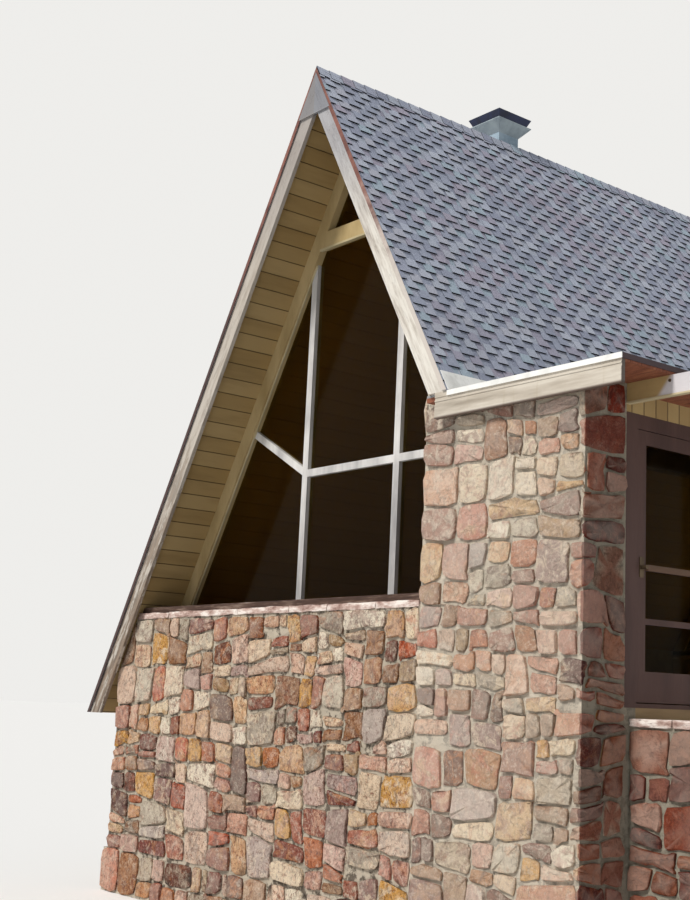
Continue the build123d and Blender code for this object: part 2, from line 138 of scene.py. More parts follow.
class Paint:
    """One material and the nodes that draw it."""

    def __init__(self, name, gloss=0.3, **plain):
        self.material = bpy.data.materials.new(name)
        self.material.use_nodes = True
        self.tree = self.material.node_tree
        self.shader = self.tree.nodes["Principled BSDF"]
        self.shader.inputs["Specular IOR Level"].default_value = gloss
        for key, value in plain.items():
            self.shader.inputs[key].default_value = value

    def add(self, kind, settings=None, sockets=None, out=0):
        """Add a node with its settings and the values or links of its sockets."""
        node = self.tree.nodes.new("ShaderNode" + kind)
        for key, value in (settings or {}).items():
            setattr(node, key, value)
        for key, value in (sockets or {}).items():
            self.feed(node.inputs[key], value)
        return Value(self, node.outputs[out])

    def feed(self, socket, value):
        if isinstance(value, Value):
            self.tree.links.new(value.socket, socket)
        else:
            socket.default_value = value

    def place(self, stretch=(1, 1, 1)):
        """Object coordinates, closer together where stretch is larger."""
        spot = self.add("TexCoord", out="Object")
        return self.add("Mapping", sockets={"Vector": spot, "Scale": stretch})

    def axes(self):
        """The x, y and z of a point in metres."""
        spot = self.add("TexCoord", out="Object")
        return [self.add("SeparateXYZ", sockets={"Vector": spot}, out=i) for i in range(3)]

    def noise(self, scale, detail=4, rough=0.55, stretch=(1, 1, 1), twist=0, spot=None):
        sockets = {
            "Vector": self.place(stretch) if spot is None else spot,
            "Scale": scale,
            "Detail": detail,
            "Roughness": rough,
            "Distortion": twist,
        }
        return self.add("TexNoise", sockets=sockets)

    def ramp(self, value, stops, hard=False):
        """Colours by value, from stops of place and colour, in plain steps if hard."""
        drawn = self.add("ValToRGB", sockets={"Fac": value})
        ramp = drawn.socket.node.color_ramp
        while len(ramp.elements) < len(stops):
            ramp.elements.new(0.5)
        for element, (spot, code) in zip(ramp.elements, stops):
            element.position = spot
            element.color = shade(code)
        if hard:
            ramp.interpolation = "CONSTANT"
        return drawn

    def mix(self, first, second, share, blend="MIX"):
        """Colours mixed by share, from 0 for the first to 1 for the second."""
        settings = {"data_type": "RGBA", "blend_type": blend}
        sockets = {0: share, 6: colour(first), 7: colour(second)}
        return self.add("Mix", settings, sockets, out=2)

    def part(self, name):
        """A number stored on the mesh."""
        return self.add("Attribute", {"attribute_name": name}, out="Fac")

    def finish(self, body, rough, *bumps):
        """Feed colour and roughness, and bumps as pairs of height and depth in metres."""
        self.feed(self.shader.inputs["Base Color"], body)
        self.feed(self.shader.inputs["Roughness"], rough)
        normal = None
        for height, depth in bumps:
            sockets = {"Height": height, "Distance": depth, "Strength": 1.0}
            if normal is not None:
                sockets["Normal"] = normal
            normal = self.add("Bump", sockets=sockets)
        if normal is not None:
            self.feed(self.shader.inputs["Normal"], normal)
        return self.material


def colour(value):
    """A socket passes through, and a written colour becomes numbers."""
    return value if isinstance(value, Value) else shade(value)


def even_steps(tones):
    """A ramp's stops with the same room for each tone."""
    return [(i / len(tones), code) for i, code in enumerate(tones)]


def shade(hex_code):
    """A colour written as on a screen, as the linear numbers that nodes take."""
    out = []
    for i in (0, 2, 4):
        c = int(hex_code[i:i + 2], 16) / 255
        out.append(c / 12.92 if c <= 0.04045 else ((c + 0.055) / 1.055) ** 2.4)
    return (*out, 1)


STONE_TONES = [
    "a9583a", "d6a680", "c47850", "efd7b4", "7c382e", "dfb388", "b26a52", "cfc1aa",
    "cc7d40", "f6e8d0", "93503f", "d49b80", "632b25", "d9b07a", "a4937f", "d0925f",
    "e6bb9f", "b9804f", "f0dab9", "74432f", "c0562a", "eaccaa", "a85f45", "d8a04e",
]


def rubble_paint():
    """Each stone its own tone from the mesh, with blotches, lime, cracks, painted shade round its
    foot and a painted highlight on its crown; the pillar is painted paler as if sunlit, and the
    faces past the right wall line in painted shade.
    """
    paint = Paint("field_stone")
    x = paint.axes()[0]
    tall = x > TALL_EDGE_X
    # Share of the dark marks kept: halved on the pillar, as painted light that makes its sunlit
    # front paler
    pillar_light_keep = 1 - tall * 0.5
    tone = paint.part("tone")
    steps = even_steps(STONE_TONES)
    base = paint.ramp(tone, steps, hard=True)
    other = paint.ramp((tone * 7.31 + 0.37) % 1.0, steps, hard=True)
    blotch = paint.noise(9.0, 6, 0.65, twist=0.8).step(0.47, 0.6)
    face = paint.mix(base, other, blotch * 0.6)
    rust = paint.noise(6.0, 7, 0.7, twist=1.0).step(0.56, 0.66)
    face = paint.mix(face, "c07038", rust * 0.45)
    depth = (tone * 13.7 + 0.11) % 1.0
    face = paint.mix(face, "f4ede2", depth.step(0.6, 1.0) * 0.4)
    face = paint.mix(face, "4b3129", (1 - depth.step(0.0, 0.35)) * 0.5)
    pale = paint.noise(13.0, 8, 0.72, twist=0.4).step(0.52, 0.64)
    face = paint.mix(face, "f8ecd8", pale * 0.4)
    streak = paint.noise(11.0, 8, 0.75, stretch=(2.0, 2.0, 0.8), twist=1.2).step(0.53, 0.64)
    face = paint.mix(face, "63392f", streak * pillar_light_keep * 0.6)
    crack = 1 - abs(paint.noise(3.5, 5, 0.6, twist=0.6) - 0.5).step(0.001, 0.01)
    face = paint.mix(face, "3b2c26", crack * 0.25)
    mottle = paint.noise(26.0, 6, 0.75, twist=0.4)
    face = paint.mix(face, "9c6a58", mottle.step(0.52, 0.62) * pillar_light_keep * 0.8, "MULTIPLY")
    face = paint.mix(face, "faeeda", (1 - mottle.step(0.36, 0.47)) * 0.3)
    grit = paint.noise(70.0, 5, 0.78)
    face = paint.mix(face, "8a6a5c", grit.step(0.52, 0.68) * pillar_light_keep * 0.8, "MULTIPLY")
    face = paint.mix(face, "f1e8dc", (1 - grit.step(0.30, 0.44)) * 0.3)
    # Painted shade on the faces past the right wall line, the pillar's side face and the stones
    # beyond it; its redder cast is partly the stones' own colour
    face = paint.mix(face, "b0847a", x.step(RIGHT_X + 0.002, RIGHT_X + 0.014), "MULTIPLY")
    rise = paint.part("rise")
    # Painted highlight on the raised crown of each stone
    face = paint.mix(face, "f3e9da", rise.step(1.2, 2.2) * 0.18)
    # Painted light: the pillar's front painted paler, as if sunlit
    face = paint.mix(face, "fbf0df", tall * (x < RIGHT_X + 0.005) * 0.2)
    # Painted shade round the foot of each stone, where it meets the joint: patchy in strength, and
    # weaker on the pillar
    foot_shade = paint.noise(3.0, 4, 0.6).step(0.4, 0.6) * 0.35 + 0.6 - tall * 0.2
    foot = 1 - rise.step(0.1, 0.95)
    face = paint.mix(face, "2e251f", foot * foot_shade)
    rough = paint.noise(40.0, 3) * 0.2 + 0.72
    coarse = paint.noise(9.0, 9, 0.72, twist=0.5)
    bumps = [(coarse, 0.05), (mottle, 0.012), (grit, 0.007), (crack, -0.004)]
    return paint.finish(face, rough, *bumps)


def mortar_paint():
    """Grey mortar with a sandy face, flush in places and raked out in others, where painted shade
    darkens it; paler on the pillar, partly painted sunlight, and in painted shade on the faces past
    the right wall line.
    """
    paint = Paint("mortar", 0.2)
    cloud = paint.noise(3.0, 5)
    body = paint.ramp(cloud, [(0.3, "b3a897"), (0.55, "cdc1ae"), (0.75, "e0d6c6")])
    # Painted shade in the raked-out joints, left out inside the house
    deep = paint.noise(8.0, 7, 0.7).step(0.49, 0.58)
    x, y = paint.axes()[:2]
    inside = (y > 0.08) * (y < 8.32) * (x > -2.85) * (x < 3.12)
    body = paint.mix(body, "40352d", deep * 0.8 * (1 - inside))
    # Paler mortar on the pillar: partly its own flush mortar, partly painted sunlight
    body = paint.mix(body, "e6dccb", (x > TALL_EDGE_X) * 0.45)
    # Painted shade on the mortar of the faces past the right wall line
    body = paint.mix(body, "5f5c4b", (x > RIGHT_X - 0.001) * 0.55)
    sand = paint.noise(150.0, 4, 0.75)
    body = paint.mix(body, "6f655b", sand.step(0.5, 0.8) * 0.5)
    return paint.finish(body, 0.92, (paint.noise(24.0, 7, 0.7), 0.03), (sand, 0.004))


SHINGLE_TONES = [
    "a9aebf", "9aa1b4", "b4bac9", "a09eb0", "a2b2c0", "9197ab",
    "abb2c1", "a0a6b9", "aeb1bf", "989fb2", "a49fb0", "afb6c7",
]


def slate_face(paint, tone):
    """The granular blue-grey face of a shingle of the given tone number."""
    face = paint.ramp(tone, even_steps(SHINGLE_TONES), hard=True)
    cloud = paint.noise(1.3, 3)
    face = paint.mix(face, "7f8595", cloud.step(0.45, 0.75) * 0.4)
    grain = paint.noise(150.0, 3, 0.8)
    face = paint.mix(face, "3f434e", grain.step(0.5, 0.72) * 0.5)
    face = paint.mix(face, "e6eaf0", (1 - grain.step(0.3, 0.46)) * 0.5)
    return face, grain


def shingle_paint():
    """Raised tabs, with painted shade on the thick end that faces down the roof and, half as strong,
    on the tab sides.
    """
    paint = Paint("slate_shingle", 0.25)
    face, grain = slate_face(paint, paint.part("tone"))
    face = paint.mix(face, "040507", paint.part("butt_shade"))
    return paint.finish(face, 0.9, (grain, 0.003))


def underlay_paint():
    """The layer of shingle between the raised tabs, patch by patch in its own tone."""
    paint = Paint("shingle_bed", 0.25)
    x, y, z = paint.axes()
    row = ((z - EAVE_Z) * (UPRIGHT / SLOPE / COURSE)).floor()
    run = ((y + row * 0.137) * 4.3).floor()
    spot = paint.add("CombineXYZ", sockets={0: row, 1: run, 2: x > 0})
    number = paint.add("TexWhiteNoise", {"noise_dimensions": "3D"}, {"Vector": spot})
    face, grain = slate_face(paint, number)
    return paint.finish(face, 0.92, (grain, 0.003))


def board_lines(along, width, start, gap=0.004):
    """1 in the joint between boards, 0 on their faces, and a number for each board."""
    run = (along - start) / width
    place = run - run.floor()
    edge = place.least(1 - place)
    joint = 1 - edge.step(gap / width * 0.5, gap / width * 1.6)
    return joint, run.floor()


SOFFIT_BOARD = 0.1413
SOFFIT_START = 3.5104


def soffit_paint():
    """Painted tongue-and-groove boards that run with the ridge; inside the house they are painted
    lighter, as painted light.
    """
    paint = Paint("soffit_board")
    y, z = paint.axes()[1:]
    joint, number = board_lines(z, SOFFIT_BOARD, SOFFIT_START, 0.0036)
    tone = (number * 0.377) % 1.0
    body = paint.mix("af976a", "9c8254", tone)
    soft = paint.noise(5.0, 5, 0.6, stretch=(1, 0.15, 1))
    body = paint.mix(body, "7d6640", soft.step(0.45, 0.75) * 0.45)
    body = paint.mix(body, "2b2013", joint * 0.7)
    # Painted light: the boards inside the house are painted lighter
    inside = (y > 0.1) * (y < 8.3)
    body = paint.mix(body, "e0b873", inside * 0.6)
    fibre = paint.noise(60.0, 4, 0.6, stretch=(1, 0.06, 1))
    return paint.finish(body, 0.62, (1 - joint, 0.006), (fibre, 0.0012))


def barge_wear_and_shade_paint():
    """White paint on a barge board; low on the left side it has flaked to grey-brown wood. Painted
    shade greys the boards towards the apex and on the left, and darkens the gusset.
    """
    paint = Paint("barge_board")
    x, y, z = paint.axes()
    flat, steep = 0.505, 0.863
    down = abs(x) * flat - z * steep
    over = abs(x) * steep + z * flat
    spot = paint.add("CombineXYZ", sockets={0: down * 0.35, 1: y * 2.0, 2: over * 3.0})
    streak = paint.noise(7.0, 7, 0.68, spot=spot)
    steps = [(0.3, "9a9188"), (0.42, "c3bcb2"), (0.55, "d9d4cb"), (0.72, "e6e2da")]
    body = paint.ramp(streak, steps)
    # Painted shade greys the boards towards the apex
    top = z.step(5.9, 7.3)
    body = paint.mix(body, "8b8d97", top * 0.72)
    # Painted shade greys the left boards
    body = paint.mix(body, "a3988c", (x < 0) * 0.6)
    # Painted shade darkens the gusset and the board ends behind it
    body = paint.mix(body, "5f646f", z.step(7.5, 7.56) * 0.55)
    worn = (x < 0) * (1 - z.step(2.2, 6.6))
    spot = paint.add("CombineXYZ", sockets={0: down * 0.3, 1: y, 2: over * 1.5 + 4.0})
    flake = paint.noise(11.0, 7, 0.7, spot=spot)
    bare = (flake + worn * 0.12 - 0.06).step(0.47, 0.55)
    wood = paint.mix("8a7868", "5b4e44", streak.step(0.4, 0.65))
    body = paint.mix(body, wood, bare * (worn * 0.85 + 0.08))
    return paint.finish(body, 0.75, (streak, 0.004), (1 - bare, 0.002))


def timber_paint(name, light, dark, across=(1, 1, 1), knuckles=False):
    """Painted timber with faint fibres, and with bronze knuckles at the door's hinges if asked."""
    paint = Paint(name)
    cloud = paint.noise(3.0, 5, 0.6, stretch=across)
    body = paint.mix(light, dark, cloud.step(0.3, 0.75))
    fibre = paint.noise(50.0, 5, 0.65, stretch=across)
    body = paint.mix(body, dark, fibre.step(0.55, 0.8) * 0.4)
    if knuckles:
        x, y = paint.axes()[:2]
        knuckle = (x > RIGHT_X + 0.0005) * (abs(y - HINGE_Y) < 0.056)
        body = paint.mix(body, "80705a", knuckle * 0.9)
    return paint.finish(body, fibre * 0.2 + 0.5, (fibre, 0.0015))


def beam_paint():
    """Tan beams; on the porch beam, painted sunlight makes the end beyond the flat roof's painted
    shadow edge pale grey.
    """
    paint = Paint("beam_timber")
    x, _, z = paint.axes()
    cloud = paint.noise(3.0, 5, 0.6, stretch=(0.3, 1, 1))
    body = paint.mix("b59c6c", "967c50", cloud.step(0.3, 0.75))
    # Painted light: past a slanted shadow edge cast by the flat roof's side, the beam's sunlit end
    # is painted pale grey
    sunlit_end = (x - (z - 4.45) * 0.83).step(3.84, 3.90)
    sunlit_pale = paint.mix("d8d6dc", "bdbbc4", cloud.step(0.35, 0.7))
    body = paint.mix(body, sunlit_pale, sunlit_end * 0.9)
    fibre = paint.noise(50.0, 5, 0.65, stretch=(0.3, 1, 1))
    body = paint.mix(body, "7d6744", fibre.step(0.55, 0.8) * 0.25)
    return paint.finish(body, fibre * 0.2 + 0.5, (fibre, 0.0015))


def siding_paint():
    """Beige vertical boards beside and over the door."""
    paint = Paint("wall_board")
    joint, number = board_lines(paint.axes()[1], 0.14, 0.02, 0.005)
    body = paint.mix("b39b6c", "a1875a", (number * 0.377) % 1.0)
    soft = paint.noise(6.0, 5, 0.6, stretch=(1, 1, 0.12))
    body = paint.mix(body, "8a7148", soft.step(0.45, 0.8) * 0.4)
    body = paint.mix(body, "33261a", joint * 0.6)
    fibre = paint.noise(70.0, 4, 0.6, stretch=(1, 1, 0.05))
    return paint.finish(body, 0.6, (1 - joint, 0.005), (fibre, 0.001))


def fascia_paint():
    """Cream board with long soft stains, and painted shade along its foot and on its end."""
    paint = Paint("fascia_cream", 0.35)
    x, _, z = paint.axes()
    stain = paint.noise(3.0, 6, 0.6, stretch=(0.4, 1, 4.0))
    body = paint.ramp(stain, [(0.3, "9c9284"), (0.48, "bbb1a3"), (0.62, "d0c8bb")])
    drip = paint.noise(16.0, 4, 0.6, stretch=(1, 1, 0.1)).step(0.55, 0.75)
    body = paint.mix(body, "a89a80", drip * 0.35)
    # Painted shade along the board's foot
    foot = 1 - z.step(4.297, 4.315)
    body = paint.mix(body, "4a3830", foot * 0.9)
    # Darker end: its end grain, with painted shade on the end face
    body = paint.mix(body, "473b34", (x > 3.881) * 0.9)
    return paint.finish(body, 0.5, (stain, 0.002))


def plywood_paint():
    """Stained plywood under the flat roof."""
    paint = Paint("stained_ply", 0.35)
    grain = paint.noise(5.0, 7, 0.65, stretch=(1, 6, 1), twist=1.0)
    body = paint.ramp(grain, [(0.3, "5e3424"), (0.5, "87503a"), (0.7, "a06a4a")])
    x, y, z = paint.axes()
    joint = board_lines(y, 1.22, 0.3, 0.006)[0]
    body = paint.mix(body, "2d1a12", joint * 0.8)
    porch = x > 3.95
    body = paint.mix(body, paint.mix("a08a66", "8a7450", grain.step(0.35, 0.7)), porch)
    # Felt on top of the flat roof and of the porch roof, which lies lower
    gravel = paint.noise(90.0, 4, 0.7)
    felt = paint.mix("7d7f82", "a3a4a4", gravel.step(0.35, 0.7))
    body = paint.mix(body, felt, (z > 4.49).most((x > 3.884) * (z > 4.4495)))
    return paint.finish(body, 0.7, (grain, 0.0015), (gravel, 0.002))


def metal_paint(name, light, dark, rough=0.4, metal=0.0):
    """Painted or bare sheet with soft stains and a few runs."""
    paint = Paint(name, 0.5, Metallic=metal)
    cloud = paint.noise(5.0, 5, 0.6)
    body = paint.mix(light, dark, cloud.step(0.35, 0.75))
    run = paint.noise(30.0, 4, 0.6, stretch=(1, 1, 0.06)).step(0.55, 0.75)
    body = paint.mix(body, dark, run * 0.5)
    return paint.finish(body, cloud * 0.25 + rough, (cloud, 0.002))


def drip_paint():
    """The gable's metal edge: rust red high up, lower down dark on the left, white on the right."""
    paint = Paint("drip_edge", 0.4)
    x, _, z = paint.axes()
    cloud = paint.noise(6.0, 5, 0.6)
    body = paint.mix("86564a", "5a342d", cloud.step(0.35, 0.7))
    low = 1 - (z + cloud * 1.4).step(6.2, 7.4)
    body = paint.mix(body, "d2ccc4", low * (x > 0) * 0.85)
    body = paint.mix(body, "33211f", low * (x < 0) * 0.9)
    return paint.finish(body, cloud * 0.2 + 0.4, (cloud, 0.001))


def edge_paint():
    """The roof's metal edge: white over the gables, dark brown along the side."""
    paint = Paint("roof_edge", 0.4)
    y = paint.axes()[1]
    cloud = paint.noise(5.0, 5, 0.6)
    pale = paint.mix("f4f4f1", "dcdcd8", cloud.step(0.35, 0.75))
    inward = (y > -0.6005) * (y < 9.0005)
    body = paint.mix(pale, "3d2a2e", inward)
    return paint.finish(body, cloud * 0.2 + 0.4, (cloud, 0.002))


def glass_paint():
    """Clear dark glass: mostly a mirror of what stands in front, with a see-through body."""
    paint = Paint("window_pane", 0.5, Roughness=0.03, IOR=1.4)
    ripple = paint.noise(1.2, 2)
    paint.feed(paint.shader.inputs["Base Color"], (0.010, 0.007, 0.005, 1))
    clear = paint.add("BsdfTransparent", sockets={"Color": (0.66, 0.60, 0.42, 1)})
    mixed = paint.add("MixShader", sockets={0: 0.9})
    node = mixed.socket.node
    paint.tree.links.new(paint.shader.outputs[0], node.inputs[1])
    paint.tree.links.new(clear.socket, node.inputs[2])
    out = paint.tree.nodes["Material Output"]
    paint.tree.links.new(node.outputs[0], out.inputs["Surface"])
    bump = paint.add("Bump", sockets={"Height": ripple, "Distance": 0.002, "Strength": 1.0})
    paint.feed(paint.shader.inputs["Normal"], bump)
    return paint.material


def cap_stone_paint():
    """Pinkish-white flat stones bedded on top of the wall."""
    paint = Paint("cap_stone")
    cloud = paint.noise(5.0, 6, 0.62, stretch=(1, 1, 3))
    body = paint.ramp(cloud, [(0.3, "755449"), (0.46, "bda399"), (0.6, "ece2da")])
    crack = paint.noise(18.0, 5, 0.7, stretch=(0.4, 1, 3)).step(0.56, 0.7)
    body = paint.mix(body, "573a32", crack * 0.75)
    return paint.finish(body, 0.85, (paint.noise(22.0, 6, 0.65), 0.012))


def ledge_paint():
    """Weathered brown timber with pale worn streaks."""
    paint = Paint("ledge_timber")
    fibre = paint.noise(9.0, 7, 0.7, stretch=(0.25, 2, 3))
    steps = [(0.3, "2a1d18"), (0.5, "4d3930"), (0.62, "7b685d"), (0.8, "b0a297")]
    body = paint.ramp(fibre, steps)
    return paint.finish(body, 0.8, (fibre, 0.006))


def floor_paint():
    """Brown floorboards that run with the ridge."""
    paint = Paint("floor_board", 0.4)
    joint = board_lines(paint.axes()[0], 0.12, 0)[0]
    grain = paint.noise(8.0, 6, 0.6, stretch=(2, 0.15, 1))
    body = paint.mix("9c845c", "826a45", grain.step(0.3, 0.7))
    body = paint.mix(body, "30241a", joint * 0.8)
    return paint.finish(body, 0.45, (1 - joint, 0.003))


PAINTS = {
    "soffit": soffit_paint(),
    "barge": barge_wear_and_shade_paint(),
    "rafter": timber_paint("tan_timber", "c0ab80", "a08a5e", (1, 1, 0.3)),
    "beam": beam_paint(),
    "mortar": mortar_paint(),
    "stone": rubble_paint(),
    "cap_stone": cap_stone_paint(),
    "ledge": ledge_paint(),
    "floor": floor_paint(),
    "sash": timber_paint("window_white", "dddbd8", "8d8b8c", (1, 1, 0.25)),
    "pane": glass_paint(),
    "fascia": fascia_paint(),
    "ply": plywood_paint(),
    "white": metal_paint("white_sheet", "f2f2ef", "cfcfcb", 0.35),
    "edge": edge_paint(),
    "siding": siding_paint(),
    "door": timber_paint("door_brown", "5b443f", "463330", (1, 1, 0.2), knuckles=True),
    "latch": metal_paint("latch_bronze", "6b5b47", "47392a", 0.35, 0.7),
    "chase": metal_paint("chase_sheet", "a3b6c4", "7b90a0", 0.4),
    "skirt": metal_paint("skirt_sheet", "a6b3b8", "86939c", 0.45),
    "hood": metal_paint("hood_sheet", "18264c", "0d152b", 0.45),
    "shingle": shingle_paint(),
    "bed": underlay_paint(),
    "drip": drip_paint(),
    "bar": timber_paint("bar_wood", "6e5544", "4e3a2f", (1, 0.2, 1)),
    "batten": timber_paint("batten_wood", "c9bd9c", "a3946e", (0.3, 1, 1)),
}
NODE_PAINTS = {
    "soffit": ["left_roof_deck", "right_roof_deck"],
    "bed": ["left_shingles", "right_shingles", "ridge_cap"],
    "barge": ["front_left_barge", "front_right_barge", "back_left_barge", "back_right_barge",
              "front_gusset", "back_gusset"],
    "rafter": ["front_left_rafter", "front_right_rafter", "back_left_rafter", "back_right_rafter",
               "front_collar", "back_collar", "front_porch_post", "back_porch_post"],
    "beam": ["wing_beam", "porch_beam", "porch_back_beam"],
    "mortar": ["front_low_wall", "front_tall_wall", "back_wall", "left_wall", "right_plinth",
               "entrance_step"],
    "cap_stone": ["front_cap_stones", "back_cap_stones"],
    "ledge": ["front_ledge", "back_ledge"],
    "floor": ["floor"],
    "sash": ["front_window_frame", "back_window_frame"],
    "pane": ["front_glass", "back_glass", "door_glass"],
    "fascia": ["front_fascia", "back_fascia"],
    "ply": ["flat_roof", "porch_roof"],
    "white": ["slope_flashing"],
    "edge": ["roof_edge"],
    "siding": ["door_head_wall", "right_wall"],
    "door": ["door_frame", "entrance_door"],
    "bar": ["push_bar"],
    "latch": ["door_latch"],
    "chase": ["chimney_chase"],
    "skirt": ["chimney_skirt"],
    "hood": ["chimney_hood"],
}
for key, names in NODE_PAINTS.items():
    for name in names:
        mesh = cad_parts[name].data
        mesh.materials.clear()
        mesh.materials.append(PAINTS[key])


# ---------------------------------------------------------------- modelling


def start(kind, name, **settings):
    """Add a primitive with nothing else selected, named, and open it in edit mode."""
    bpy.ops.object.select_all(action="DESELECT")
    getattr(bpy.ops.mesh, f"primitive_{kind}_add")(**settings)
    piece = bpy.context.object
    piece.name = name
    piece.data.name = name
    bpy.ops.object.transform_apply(location=True, rotation=True, scale=True)
    mode("EDIT")
    return piece


def sized(kind, name, size):
    """A plane or cube of the given size about the origin, open in edit mode."""
    piece = start(kind, name, size=1, location=(0, 0, 0))
    everything()
    bpy.ops.transform.resize(value=size)
    return piece


def pick(piece, test, kind="faces"):
    """Select the faces or points that pass the test, and nothing else."""
    bpy.ops.mesh.select_mode(type={"faces": "FACE", "verts": "VERT"}[kind])
    bpy.ops.mesh.select_all(action="DESELECT")
    mesh = bmesh.from_edit_mesh(piece.data)
    for item in getattr(mesh, kind):
        if test(item):
            item.select_set(True)
    mesh.select_flush_mode()
    bmesh.update_edit_mesh(piece.data)


def settle(piece):
    """Sort points, edges and faces by place, so that what is dealt by number is always the same."""
    mesh = bmesh.from_edit_mesh(piece.data)
    for items in (mesh.verts, mesh.edges, mesh.faces):
        items.sort(key=place_key)
        items.index_update()
    bmesh.update_edit_mesh(piece.data)


def place_key(item):
    """One number for the place of a point, edge or face."""
    spots = [item.co] if isinstance(item, bmesh.types.BMVert) else [v.co for v in item.verts]
    return sum(c.x * 0.7312 + c.y * 0.5417 + c.z * 0.9173 for c in spots) / len(spots)


def everything():
    bpy.ops.mesh.select_all(action="SELECT")


def cut(point, normal, outer=False, fill=False):
    """Cut what is selected with a plane; drop what lies beyond it and close the cut if asked."""
    bpy.ops.mesh.bisect(plane_co=point, plane_no=normal, clear_outer=outer, use_fill=fill)


def trim(point, normal):
    """Saw a closed piece off at a plane."""
    everything()
    cut(point, normal, outer=True, fill=True)


def edges_off(width):
    """Take a narrow chamfer off every edge."""
    everything()
    bpy.ops.mesh.bevel(offset=width, segments=1)


def mode(word):
    """Switch to OBJECT or EDIT mode."""
    bpy.ops.object.mode_set(mode=word)


def move_mesh(piece, matrix):
    """Move the piece's mesh itself by the matrix, and open it in edit mode."""
    mode("OBJECT")
    piece.matrix_world = matrix
    bpy.ops.object.transform_apply(location=True, rotation=True, scale=True)
    mode("EDIT")


def axes_of(along, out):
    """The turn that lays X along one direction and Z along another."""
    return Matrix((along, out.cross(along), out)).transposed().to_4x4()


def close(piece, paint, body="house", angle=35):
    """Leave edit mode, smooth, paint, and let the piece ride."""
    mode("OBJECT")
    bpy.ops.object.select_all(action="DESELECT")
    piece.select_set(True)
    bpy.context.view_layer.objects.active = piece
    bpy.ops.object.shade_smooth_by_angle(angle=math.radians(angle))
    piece.data.materials.clear()
    piece.data.materials.append(PAINTS[paint])
    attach(piece, body)
    return piece


def apply_modifiers(piece):
    for modifier in list(piece.modifiers):
        bpy.ops.object.modifier_apply(modifier=modifier.name)


def repeat(piece, name, step, count):
    """Copies of the piece in a row, each one step further."""
    array = piece.modifiers.new(name, "ARRAY")
    array.use_relative_offset = False
    array.use_constant_offset = True
    array.constant_offset_displace = step
    array.count = count
    apply_modifiers(piece)


def store(piece, name, domain, values):
    """Keep one number for each point or face on the mesh."""
    piece.data.attributes.new(name, "FLOAT", domain).data.foreach_set("value", values)


def islands(mesh):
    """The number of the loose shell that each point belongs to."""
    group = list(range(len(mesh.vertices)))

    def root(i):
        while group[i] != i:
            group[i] = group[group[i]]
            i = group[i]
        return i

    for edge in mesh.edges:
        a, b = root(edge.vertices[0]), root(edge.vertices[1])
        if a != b:
            group[a] = b
    return [root(i) for i in range(len(group))]


def give_tones(piece, seed):
    """Store one random number for each loose shell as the attribute `tone`."""
    shell = islands(piece.data)
    draw = random.Random(seed)
    tones = {number: draw.random() for number in dict.fromkeys(shell)}
    store(piece, "tone", "POINT", [tones[number] for number in shell])


# ---------------------------------------------------------------- rubble walls


# Stones, in metres where nothing else is said
BLOCK = 0.75
STONE_SIZE = (0.17, 0.46)
JOINT = 0.016
PROUD = 0.013
SUNK = 0.012
OUTLINE_WANDER = 0.036
CORNER_WANDER = 0.009
FACE_WANDER = 0.011
SHORT_EDGE = 0.02
SHORT_ARC = 0.008
CORNER_PERCENT = 30
LIFTS = (0.007, 0.006, -0.006)
RIM = 0.008
DOME = 0.006
FACE_START = 0.004
FULL_RISE = 0.014
NEAR = 0.0005
SMALL_AREA = 0.0014  # square metres
THIN_SHARE = 0.030  # of the squared outline


def split_blocks(piece, along, draw):
    """Cut a wall face into staggered blocks, then each block into stones of mixed size."""
    up = Vector((0, 0, 1))
    side = Vector(along)

    def cells():
        mesh = bmesh.from_edit_mesh(piece.data)
        mesh.faces.ensure_lookup_table()
        return mesh

    def spans(face):
        s = [v.co.dot(side) for v in face.verts]
        h = [v.co.z for v in face.verts]
        return (min(s), max(s)), (min(h), max(h))

    def split(index, vertical, share, tilt):
        mesh = cells()
        face = mesh.faces[index]
        for other in mesh.faces:
            other.select_set(False)
        mesh.select_flush(False)
        face.select_set(True)
        s, h = spans(face)
        origin = face.verts[0].co
        spot = origin + side * (s[0] + (s[1] - s[0]) * share - origin.dot(side))
        spot.z = h[0] + (h[1] - h[0]) * (0.5 if vertical else share)
        if not vertical:
            spot += side * (sum(s) / 2 - spot.dot(side))
        normal = side + up * tilt if vertical else up + side * tilt
        cut(spot, normal)

    bpy.ops.mesh.select_mode(type="FACE")
    limits = {}
    first = True
    todo = True
    while todo:
        todo = []
        for face in cells().faces:
            wide, high = (b - a for a, b in spans(face))
            longest = max(wide, high)
            key = tuple(round(c, 4) for c in face.calc_center_median())
            # Each cell has a largest area of its own, which is smaller where the cell is long
            bound = limits.setdefault(key, draw.uniform(*STONE_SIZE) ** 2 * 1.15)
            bound *= 0.35 + 1.15 * min(wide, high) / longest
            if face.calc_area() > bound and longest > STONE_SIZE[0]:
                todo.append((face.index, wide, high))
        for index, wide, high in reversed(todo):
            level = first or max(wide, high) > BLOCK
            vertical = wide > high * (1.4 if level else draw.uniform(1.2, 2.0))
            share = draw.uniform(0.38, 0.62)
            lean = 0.1 if level else 0.18
            split(index, vertical, share, draw.uniform(-lean, lean))
        first = False


def lay_stones(name, corner, along, length, height, seed, cuts):
    """Flat cells on one wall face, from a corner over a length and a height."""
    draw = random.Random(seed)
    side = Vector(along)
    out = side.cross(Vector((0, 0, 1)))
    middle = Vector(corner) + side * length / 2 + Vector((0, 0, height / 2))
    turn = math.atan2(side.y, side.x)
    piece = sized("plane", name, (length, height, 1))
    stand = Matrix.Rotation(turn, 4, "Z") @ Matrix.Rotation(QUARTER, 4, "X")
    move_mesh(piece, Matrix.Translation(middle) @ stand)
    for point, normal in cuts:
        everything()
        cut(point, normal, outer=True)
    split_blocks(piece, along, draw)
    return piece, out


